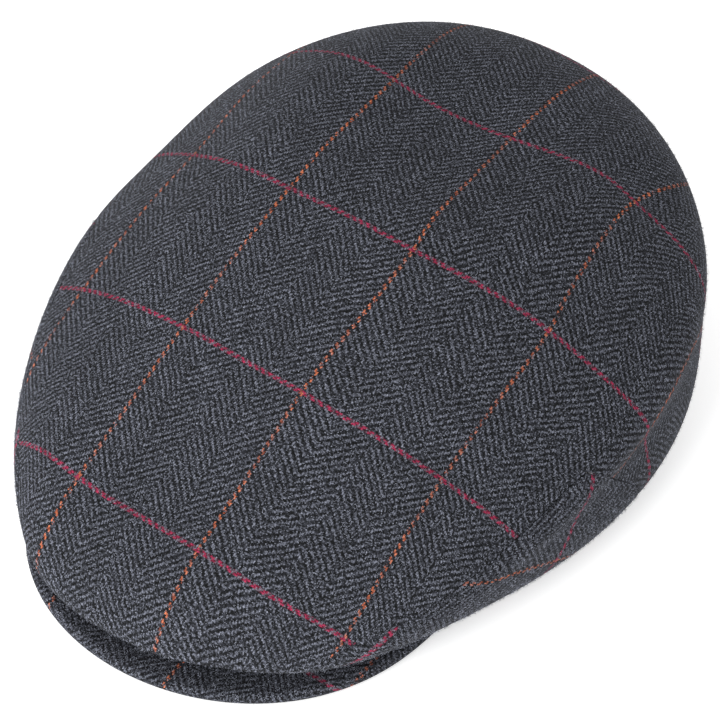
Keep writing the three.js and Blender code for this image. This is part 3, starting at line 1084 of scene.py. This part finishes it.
@dataclass
class TopPanel(Panel):
    """The one-piece top, from the hem at the front and back up to the middle of the crown."""

    fibres: int = 19000
    columns: int = 440
    edge_steps: int = 3600
    coarse_step: int = 5
    rows: int = 132
    inner_rows: int = 30
    coarse_rows: int = 26
    edge_rows: tuple[float, ...] = (0.0, 0.002, 0.004, 0.007, 0.011)
    even_from: float = 0.018
    slant_row: int = 4
    firmness: float = 8.0
    warm_spacing: float = 52.0
    red_spacing: float = 62.0
    middle_line: int = 3
    crossings: tuple[Crossing, ...] = (
        Crossing(2, 1, 336, 0.525), Crossing(3, 1, 5, 0.555), Crossing(4, 1, 36, 0.42),
        Crossing(1, 2, 296, 0.54), Crossing(2, 2, 320, 0.73), Crossing(3, 2, 14, 0.785),
        Crossing(4, 2, 56, 0.605), Crossing(1, 3, 270, 0.59), Crossing(2, 3, 278, 0.86),
        Crossing(3, 3, 74, 0.925), Crossing(4, 3, 87, 0.66), Crossing(5, 3, 90, 0.39),
        Crossing(1, 4, 237, 0.54), Crossing(2, 4, 213, 0.74), Crossing(3, 4, 161, 0.77),
        Crossing(4, 4, 127, 0.61), Crossing(3, 5, 169, 0.545),
        Crossing(0.49, 3, 265, 0.471), Crossing(0.82, 4, 237, 0.50), Crossing(2, 0.47, 340, 0.371),
        Crossing(3, 0.43, 4, 0.371), Crossing(5, 3.62, 108, 0.425), Crossing(5, 2.73, 85, 0.362),
        Crossing(4.72, 4, 119, 0.446), Crossing(4, 4.59, 141, 0.467), Crossing(1.52, 1, 323, 0.458),
        Crossing(2, 4.62, 202, 0.621), Crossing(2, 5, 197, 0.52), Crossing(4, 5, 147, 0.39),
        Crossing(4.68, 3, 90, 0.512), Crossing(5.24, 3, 90, 0.292), Crossing(5.43, 3, 89, 0.229),
    )

    def _angles(self) -> Array:
        """Angles of the columns, spaced evenly along the lower edge.

        Returns:
            One angle for each column.
        """
        fine = np.linspace(0, 360, self.edge_steps + 1)
        edge = self.crown.point(fine, self.seam.top_edge(fine))
        run = np.concatenate([[0], np.cumsum(np.linalg.norm(np.diff(edge, axis=0), axis=1))])
        return np.interp(np.arange(self.columns) * run[-1] / self.columns, run, fine)

    def _shares(self, rows: int) -> Array:
        """Shares of the way up for the rows, close together at the edge and even from there on."""
        return np.concatenate([self.edge_rows, np.linspace(self.even_from, 1, rows)])

    def _grid(self, shares: Array, angles: Array) -> tuple[Array, Array]:
        """Points and normals, for shares of the way from the edge to the top.

        Args:
            shares: one share for each row, from 0 at the edge to 1 at the top.
            angles: one angle for each column.

        Returns:
            Grids of points and normals.
        """
        angle, share = np.meshgrid(angles, shares)
        edge = self.seam.top_edge(angle)
        level = edge + (1 - edge) * share
        return self.crown.point(angle, level), self.crown.wall_normal(angle, level)

    def _from_edge(self, points: Array) -> Array:
        """Each point's distance from the lower edge.

        It is the run up its column, times the sine of the angle between the column and the edge.

        Args:
            points: a grid of points.

        Returns:
            The distances.
        """
        runs = np.linalg.norm(np.diff(points, axis=0), axis=-1)
        along = np.roll(points[0], -1, axis=0) - np.roll(points[0], 1, axis=0)
        up = points[self.slant_row] - points[0]
        lengths = np.linalg.norm(along, axis=-1) * np.linalg.norm(up, axis=-1)
        slant = np.linalg.norm(np.cross(along, up), axis=-1) / lengths
        return np.vstack([np.zeros_like(runs[:1]), np.cumsum(runs, axis=0)]) * slant

    def _lay(self, angles: Array) -> tuple[Array, Array]:
        """Lays the panel out on the flat cloth, on a coarser grid.

        Args:
            angles: one angle for each column of the fine grid.

        Returns:
            The coarse grid's points and their places on the flat cloth.
        """
        coarse, normals = self._grid(np.linspace(0, 1, self.coarse_rows), angles[:: self.coarse_step])
        pins = []
        for crossing in self.crossings:
            point = self.crown.point(np.array(float(crossing.angle)), np.array(crossing.level))
            across = (crossing.orange - self.middle_line) * self.warm_spacing
            pins.append(Pin(point, (across, (crossing.red - self.middle_line) * self.red_spacing)))
        return coarse, lay_cloth(coarse, carried_axes(normals), True, pins, self.firmness)

    def _cloth(self, shares: Array, points: Array, normals: Array, coarse: Array, laid: Array) -> Array:
        """Each fine grid point's place on the flat cloth.

        Args:
            shares: one share for each row, from 0 at the edge to 1 at the top.
            points: the fine grid's points.
            normals: the normals there.
            coarse: the coarse grid's points.
            laid: their places on the flat cloth.

        Returns:
            The fine grid's places on the flat cloth.
        """
        def spread(grid: Array) -> Array:
            """The coarse grid's values at the fine grid's rows and columns, in straight lines.

            Args:
                grid: the coarse grid's values.

            Returns:
                The fine grid's values.
            """
            closed = np.concatenate([grid, grid[:, :1]], axis=1).swapaxes(0, 1)
            wide = between_rows(closed, np.arange(self.columns) / self.coarse_step).swapaxes(0, 1)
            return between_rows(wide, shares * (self.coarse_rows - 1))

        return on_true_points(spread(laid), spread(coarse), points, carried_axes(normals))

    def _faces(self, outer_rows: int, inner_rows: int) -> list[Array]:
        """Closes the wall: both faces, each with a fan round its top point, and the edge between them.

        Args:
            outer_rows: the outer face's rows below its top point.
            inner_rows: the inner face's rows below its top point.

        Returns:
            The quads and the triangles.
        """
        quads, fans, edges = [], [], []
        start = 0
        for rows, turn in ((outer_rows, 1), (inner_rows, -1)):
            numbers = start + np.arange(rows * self.columns).reshape(rows, self.columns)
            numbers = np.concatenate([numbers, numbers[:, :1]], axis=1)
            top = start + rows * self.columns
            fan = np.stack([numbers[-1, :-1], numbers[-1, 1:], np.full(self.columns, top)], axis=-1)
            quads.append(sheet_faces(numbers)[:, ::turn])
            fans.append(fan[:, ::turn])
            edges.append(numbers[0])
            start = top + 1
        quads.append(sheet_faces(np.stack(edges[::-1])))
        return [np.concatenate(quads), np.concatenate(fans)]

    def build(self) -> bpy.types.Object:
        """Builds the panel as a closed wall and puts it in the place of its solid.

        Returns:
            The piece.
        """
        angles = self._angles()
        coarse, laid = self._lay(angles)
        shares = self._shares(self.rows)
        points, normals = self._grid(shares, angles)
        outer = self._rolled(points, normals, self._from_edge(points), 1.0)
        flat_outer = self._cloth(shares, points, normals, coarse, laid)
        fibres = self.nap.build("wool_nap_top", "tweed_top", outer, normals, self.fibres)
        shares = self._shares(self.inner_rows)
        points, normals = self._grid(shares, angles)
        inner = self._rolled(points - normals * self.thickness, normals, self._from_edge(points), -1.0)
        flat_inner = self._cloth(shares, points, normals, coarse, laid)

        def one_top(grid: Array) -> Array:
            """The grid's points with its last row as one point."""
            return np.concatenate([grid[:-1].reshape(-1, grid.shape[-1]), grid[-1, :1]])

        vertices = np.concatenate([one_top(outer), one_top(inner)])
        flat = np.concatenate([one_top(flat_outer), one_top(flat_inner)])
        faces = self._faces(len(outer) - 1, len(inner) - 1)
        piece = make_piece("tweed_top", vertices, faces, flat, self.finish)
        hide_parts("top_panel")
        closed = np.concatenate([outer, outer[:, :1]], axis=1)
        self._declare(piece, fibres, closed, flat_outer, ["side_panel_left", "side_panel_right"])
        return piece


@dataclass
class SidePanel(Panel):
    """The half-moon panel over one ear, from the hem up to the seam with the top."""

    side: Side = Side.LEFT
    fibres: int = 4000
    columns: int = 105
    rows: int = 71
    coarse_columns: int = 22
    coarse_rows: int = 16
    edge_rows: tuple[float, ...] = (0.0, 0.003, 0.007, 0.013, 0.022)
    even_from: float = 0.035
    grain: float = 128.0
    end_share: float = 0.002
    seam_share: float = 0.004
    marks: tuple[SideMark, ...] = (
        SideMark(0.74, 0.546, 0, 0),
        SideMark(0.505, 1.0, 0, -40),
        SideMark(0.96, 1.0, -34, 0),
        SideMark(0.269, 1.0, 21, -62),
        SideMark(0.19, 0.875, 38, -62),
    )

    def _spaced(self, count: int) -> Array:
        """Shares from 0 to 1, close together at both ends and even between them.

        Args:
            count: how many shares there are.

        Returns:
            The shares.
        """
        ends = np.array(self.edge_rows)
        even = np.linspace(self.even_from, 1 - self.even_from, count - 2 * len(ends))
        return np.concatenate([ends, even, 1 - ends[::-1]])

    def _grid(self, s: Array, t: Array) -> tuple[Array, Array]:
        """Points and normals of the panel.

        Args:
            s: shares of the way from the front end to the back end, one for each column.
            t: shares of the way from the hem to the seam, one for each row.

        Returns:
            Grids of points and normals.
        """
        angle, level = self.seam.side_place(*np.meshgrid(s, t))
        angle = angle if self.side is Side.LEFT else 360.0 - angle
        return self.crown.point(angle, level), self.crown.wall_normal(angle, level)

    def _from_edge(self, points: Array) -> Array:
        """Each point's distance from the nearest of the four edges, along its row or its column.

        Args:
            points: a grid of points.

        Returns:
            The distances.
        """
        column_run = np.linalg.norm(np.diff(points, axis=1), axis=-1)
        row_run = np.linalg.norm(np.diff(points, axis=0), axis=-1)
        along = np.hstack([np.zeros_like(column_run[:, :1]), np.cumsum(column_run, axis=1)])
        upward = np.vstack([np.zeros_like(row_run[:1]), np.cumsum(row_run, axis=0)])
        from_ends = np.minimum(along, along[:, -1:] - along)
        return np.minimum(from_ends, np.minimum(upward, upward[-1:] - upward))

    def _cloth(self, s: Array, t: Array, points: Array, normals: Array) -> Array:
        """Each point's place on the flat cloth, laid out on a coarser grid and moved to the true points.

        Args:
            s: shares of the way from the front end to the back end, one for each column.
            t: shares of the way from the hem to the seam, one for each row.
            points: the grid's points.
            normals: the normals there.

        Returns:
            The grid's places on the flat cloth.
        """
        coarse, coarse_normals = self._grid(np.linspace(0, 1, self.coarse_columns),
                                            np.linspace(0, 1, self.coarse_rows))
        pins = []
        for mark in self.marks:
            point, _ = self._grid(np.array([mark.share]), np.array([mark.height]))
            pins.append(Pin(point[0, 0], (mark.across * self.side.value, mark.along)))
        grain = self.grain * self.side.value
        laid = lay_cloth(coarse, wall_axes(coarse_normals, grain), False, pins)

        def spread(grid: Array) -> Array:
            """The coarse grid's values at the fine grid's rows and columns, in straight lines."""
            tall = between_rows(grid, t * (self.coarse_rows - 1)).swapaxes(0, 1)
            return between_rows(tall, s * (self.coarse_columns - 1)).swapaxes(0, 1)

        return on_true_points(spread(laid), spread(coarse), points, wall_axes(normals, grain))

    def _faces(self) -> Array:
        """Closes the wall: the outer face, the inner face and the strip round their four edges.

        Returns:
            The quads.
        """
        count = self.rows * self.columns
        numbers = np.arange(count).reshape(self.rows, self.columns)
        face = sheet_faces(numbers)
        rim = np.concatenate([numbers[0, :-1], numbers[:-1, -1], numbers[-1, :0:-1], numbers[::-1, 0]])
        edge = sheet_faces(np.stack([rim + count, rim]))
        quads = np.concatenate([face, face[:, ::-1] + count, edge])
        return quads if self.side is Side.LEFT else quads[:, ::-1]

    def build(self) -> bpy.types.Object:
        """Builds the panel as a closed wall and puts it in the place of its solid.

        Returns:
            The piece.
        """
        s = self.end_share + (1 - 2 * self.end_share) * self._spaced(self.columns)
        t = (1 - self.seam_share) * self._spaced(self.rows)
        points, normals = self._grid(s, t)
        from_edge = self._from_edge(points)
        outer = self._rolled(points, normals, from_edge, 1.0)
        inner = self._rolled(points - normals * self.thickness, normals, from_edge, -1.0)
        flat = self._cloth(s, t, points, normals)
        vertices = np.concatenate([outer.reshape(-1, 3), inner.reshape(-1, 3)])
        places = np.tile(flat.reshape(-1, 2), (2, 1))
        word = self.side.name.lower()
        fibres = self.nap.build(f"wool_nap_side_{word}", "tweed_side", outer, normals, self.fibres)
        faces = [self._faces()]
        piece = make_piece(f"tweed_side_{word}", vertices, faces, places, self.finish)
        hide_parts(f"side_panel_{word}")
        self._declare(piece, fibres, outer, flat, ["top_panel"])
        return piece


@dataclass
class Peak:
    """The stiff peak: a flat crescent with a round rim, covered with cloth, under the crown's front.

    Lengths are in millimetres and angles in degrees.
    """

    crown: CrownForm
    finish: bpy.types.Material
    nap: WoolNap
    fibres: int = 6500
    nap_from: float = 0.6
    thickness: float = 5.0
    top: float = 7.0
    droop_front: float = 0.5
    droop_side: float = 0.6
    root_angle: float = 46.0
    root_gap: float = 1.1
    front: float = -134.0
    half_width: float = 77.0
    end_y: float = -54.0
    shape: float = 0.88
    skew: float = 0.03
    sections: int = 181
    along: int = 26
    rim: int = 14
    halvings: int = 40
    warm_line_x: float = 15.5
    red_line_y: float = -101.5

    def _wall(self, angle: Array, height: Array) -> Array:
        """Points just outside the crown's lower wall at given heights.

        Their levels are found by halving the span that they lie in, over and over.

        Args:
            angle: degrees from the front, towards +X.
            height: heights of the points, of the same shape.

        Returns:
            The points.
        """
        low = np.zeros_like(angle)
        high = np.full_like(angle, self.crown.rings[1].level)
        for _ in range(self.halvings):
            middle = (low + high) / 2
            is_under = self.crown.smooth(angle, middle)[..., 2] < height
            low = np.where(is_under, middle, low)
            high = np.where(is_under, high, middle)
        outward = self.crown.wall_normal(angle, np.zeros_like(angle))
        return self.crown.smooth(angle, low) + outward * self.root_gap

    def _rim_line(self, across: Array) -> Array:
        """The middle line of the rim, a quarter turn of an oval on each side.

        X goes with the sine of the turn. Y goes with its cosine raised to the shape, and with a share of X
        that draws the line askew.

        Args:
            across: places from -1 at one end to 1 at the other.

        Returns:
            The points, at no height.
        """
        radius = self.thickness / 2
        turn = across * math.pi / 2
        x = (self.half_width - radius) * np.sin(turn)
        depth = self.end_y - self.front - radius
        y = self.end_y - depth * np.abs(np.cos(turn)) ** self.shape + self.skew * x
        return np.stack([x, y, np.zeros_like(x)], axis=-1)

    def _face(self, across: Array, edge: Array, drop: float) -> Array:
        """One face of the peak: straight lines from the crown's wall to the rim.

        The face droops towards the front and towards both ends with the square of the way.

        Args:
            across: places from -1 at one end to 1 at the other.
            edge: the rim's middle line.
            drop: how far the face lies below the top.

        Returns:
            A grid of points, a row for each place.
        """
        share = np.linspace(0, 1, self.along)
        base = self.top - self.droop_side * across**2 - drop
        root = self._wall(across * self.root_angle, base)
        face = root[:, None] + (edge - root)[:, None] * share[None, :, None]
        face[..., 2] = base[:, None] - self.droop_front * share[None] ** 2
        return face

    def _sections(self) -> tuple[Array, Array]:
        """The peak's closed sections, and their places on the flat cloth.

        A section runs under the peak from the crown's wall to the rim, round the rim in a half circle and
        back over the top. The cloth is rolled off it from the rim on.

        Returns:
            Grids of points and of places, a row for each section.
        """
        across = np.linspace(-1, 1, self.sections)
        radius = self.thickness / 2
        edge = self._rim_line(across)
        bottom = self._face(across, edge, self.thickness)
        top = self._face(across, edge, 0.0)
        ahead = (edge - top[:, 0]) * np.array([1.0, 1.0, 0.0])
        ahead /= np.linalg.norm(ahead, axis=-1, keepdims=True)
        bend = math.pi * np.arange(1, self.rim) / self.rim
        tip = top[:, -1]
        rim = tip[:, None] + ahead[:, None] * (radius * np.sin(bend))[None, :, None]
        rim[..., 2] = tip[:, None, 2] - radius - radius * np.cos(bend)[None]
        section = np.concatenate([bottom, rim, top[:, ::-1]], axis=1)
        rolled = tip[:, None, :2] + ahead[:, None, :2] * (radius * (math.pi - bend))[None, :, None]
        under = bottom[..., :2] + ahead[:, None, :2] * math.pi * radius
        unrolled = np.concatenate([under, rolled, top[:, ::-1, :2]], axis=1)
        return section, unrolled - np.array([self.warm_line_x, self.red_line_y])

    def _end_faces(self, row: Array) -> tuple[Array, Array]:
        """Closes an end of the peak between the two halves of its section.

        Args:
            row: the vertex numbers round the section, an odd count with the rim's middle halfway.

        Returns:
            Quads across the section, and the triangle at the rim.
        """
        half = len(row) // 2
        back = row[::-1]
        quads = np.stack([row[: half - 1], row[1:half], back[1:half], back[: half - 1]], axis=-1)
        return quads, np.array([[row[half - 1], row[half], back[half - 1]]])

    def _faces(self, numbers: Array) -> list[Array]:
        """Closes the peak: the skin round its sections and both ends.

        Args:
            numbers: the vertex numbers, a row for each section.

        Returns:
            The quads and the triangles.
        """
        closed = np.concatenate([numbers, numbers[:, :1]], axis=1)
        right_quads, right_tip = self._end_faces(numbers[0])
        left_quads, left_tip = self._end_faces(numbers[-1, ::-1])
        quads = np.concatenate([sheet_faces(closed)[:, ::-1], right_quads, left_quads])
        return [quads, np.concatenate([right_tip, left_tip])]

    def build(self) -> bpy.types.Object:
        """Builds the peak and puts it in the place of its solid.

        Returns:
            The piece.
        """
        section, flat = self._sections()
        count, size = section.shape[:2]
        faces = self._faces(np.arange(count * size).reshape(count, size))
        piece = make_piece("tweed_peak", section.reshape(-1, 3), faces, flat.reshape(-1, 2), self.finish)
        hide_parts("peak")
        first = self.along + self.rim // 2
        last = self.along + self.rim + int(self.along * (1 - self.nap_from))
        shown = section[:, first:last]
        normals = np.cross(np.gradient(shown, axis=1), np.gradient(shown, axis=0))
        normals /= np.linalg.norm(normals, axis=-1, keepdims=True)
        self.nap.build("wool_nap_peak", "tweed_peak", shown, normals, self.fibres)
        return piece


@dataclass(frozen=True)
class SoftLight:
    """A square light: its place and the length of its side in metres, and its power in watts."""

    name: str
    place: tuple[float, float, float]
    size: float
    power: float


@dataclass
class Studio:
    """The pale floor, the soft light and the camera at the photograph's angle.

    Lengths are in metres and angles in degrees, apart from the camera's own, which are in millimetres.
    """

    azimuth: float = 34.2
    elevation: float = 47.7
    distance: float = 1.5
    aim: tuple[float, float, float] = (0.0029, 0.0024, 0.0358)
    lens: float = 217.45
    sensor: float = 36.0
    floor_size: float = 6.0
    floor_tone: Colour = (0.97, 0.97, 0.97)
    floor_glow: float = 0.4
    floor_roughness: float = 0.9
    floor_specular: float = 0.1
    white: Colour = (1.0, 1.0, 1.0)
    surroundings: float = 0.85
    lights: tuple[SoftLight, ...] = (
        SoftLight("key", (-0.15, -2.1, 1.4), 1.4, 38.0),
        SoftLight("low", (1.4, -0.3, 0.35), 1.0, 1.5),
        SoftLight("front", (-0.4, -1.4, 0.08), 0.6, 22.0),
    )

    def _stand(self, thing: bpy.types.Object, place: Vector, facing: Vector) -> None:
        """Stands a camera or a light at a place.

        Args:
            thing: the camera or the light.
            place: where it stands.
            facing: the direction that it faces.
        """
        thing.location = place
        thing.rotation_mode = "QUATERNION"
        thing.rotation_quaternion = facing.to_track_quat("-Z", "Y")
        bpy.context.scene.collection.objects.link(thing)

    def _camera(self) -> None:
        """Adds the camera, looking at the aim from the azimuth and the elevation."""
        turn, rise = math.radians(self.azimuth), math.radians(self.elevation)
        back = Vector((math.sin(turn) * math.cos(rise), -math.cos(turn) * math.cos(rise), math.sin(rise)))
        data = bpy.data.cameras.new("camera")
        data.lens = self.lens
        data.sensor_width = self.sensor
        camera = bpy.data.objects.new("camera", data)
        self._stand(camera, Vector(self.aim) + back * self.distance, -back)
        bpy.context.scene.camera = camera

    def _floor(self) -> None:
        """Adds the floor as a wide pale plate that glows a little, as a light table does."""
        half = self.floor_size / 2
        mesh = bpy.data.meshes.new("floor")
        corners = [(-half, -half, 0), (half, -half, 0), (half, half, 0), (-half, half, 0)]
        mesh.from_pydata(corners, [], [(0, 1, 2, 3)])
        nodes = FinishNodes("pale_floor")
        nodes.set({
            "Base Color": self.floor_tone,
            "Emission Color": self.white,
            "Emission Strength": self.floor_glow,
            "Roughness": self.floor_roughness,
            "Specular IOR Level": self.floor_specular,
        })
        mesh.materials.append(nodes.material)
        floor = bpy.data.objects.new("floor", mesh)
        bpy.context.scene.collection.objects.link(floor)

    def _light(self, light: SoftLight) -> None:
        """Adds a soft light that faces the cap.

        Args:
            light: its name, place, size and power.
        """
        data = bpy.data.lights.new(light.name, "AREA")
        data.size = light.size
        data.energy = light.power
        place = Vector(light.place)
        self._stand(bpy.data.objects.new(light.name, data), place, Vector(self.aim) - place)

    def build(self) -> None:
        """Builds the camera, the floor, the lights and the pale surroundings."""
        self._camera()
        self._floor()
        for light in self.lights:
            self._light(light)
        world = bpy.data.worlds.new("surroundings")
        world.use_nodes = True
        background = world.node_tree.nodes["Background"]
        feed(world.node_tree, background.inputs["Color"], self.white)
        feed(world.node_tree, background.inputs["Strength"], self.surroundings)
        bpy.context.scene.world = world
        bpy.context.scene.view_settings.view_transform = "Standard"


def main() -> None:
    """Builds the studio and the cap's pieces in order."""
    logging.basicConfig(level=logging.INFO, format="%(message)s")
    Studio().build()
    crown = CrownForm()
    seam = SideSeam()
    tweed = TweedFinish("herringbone_tweed").material()
    wool = NapFinish("wool_nap").material()
    TopPanel(crown, seam, tweed, WoolNap(wool, seed=7)).build()
    for side in Side:
        SidePanel(crown, seam, tweed, WoolNap(wool, seed=17 + side.value), side=side).build()
    Peak(crown, tweed, WoolNap(wool, seed=31, lowest=3.0)).build()


if __name__ == "__main__":
    main()
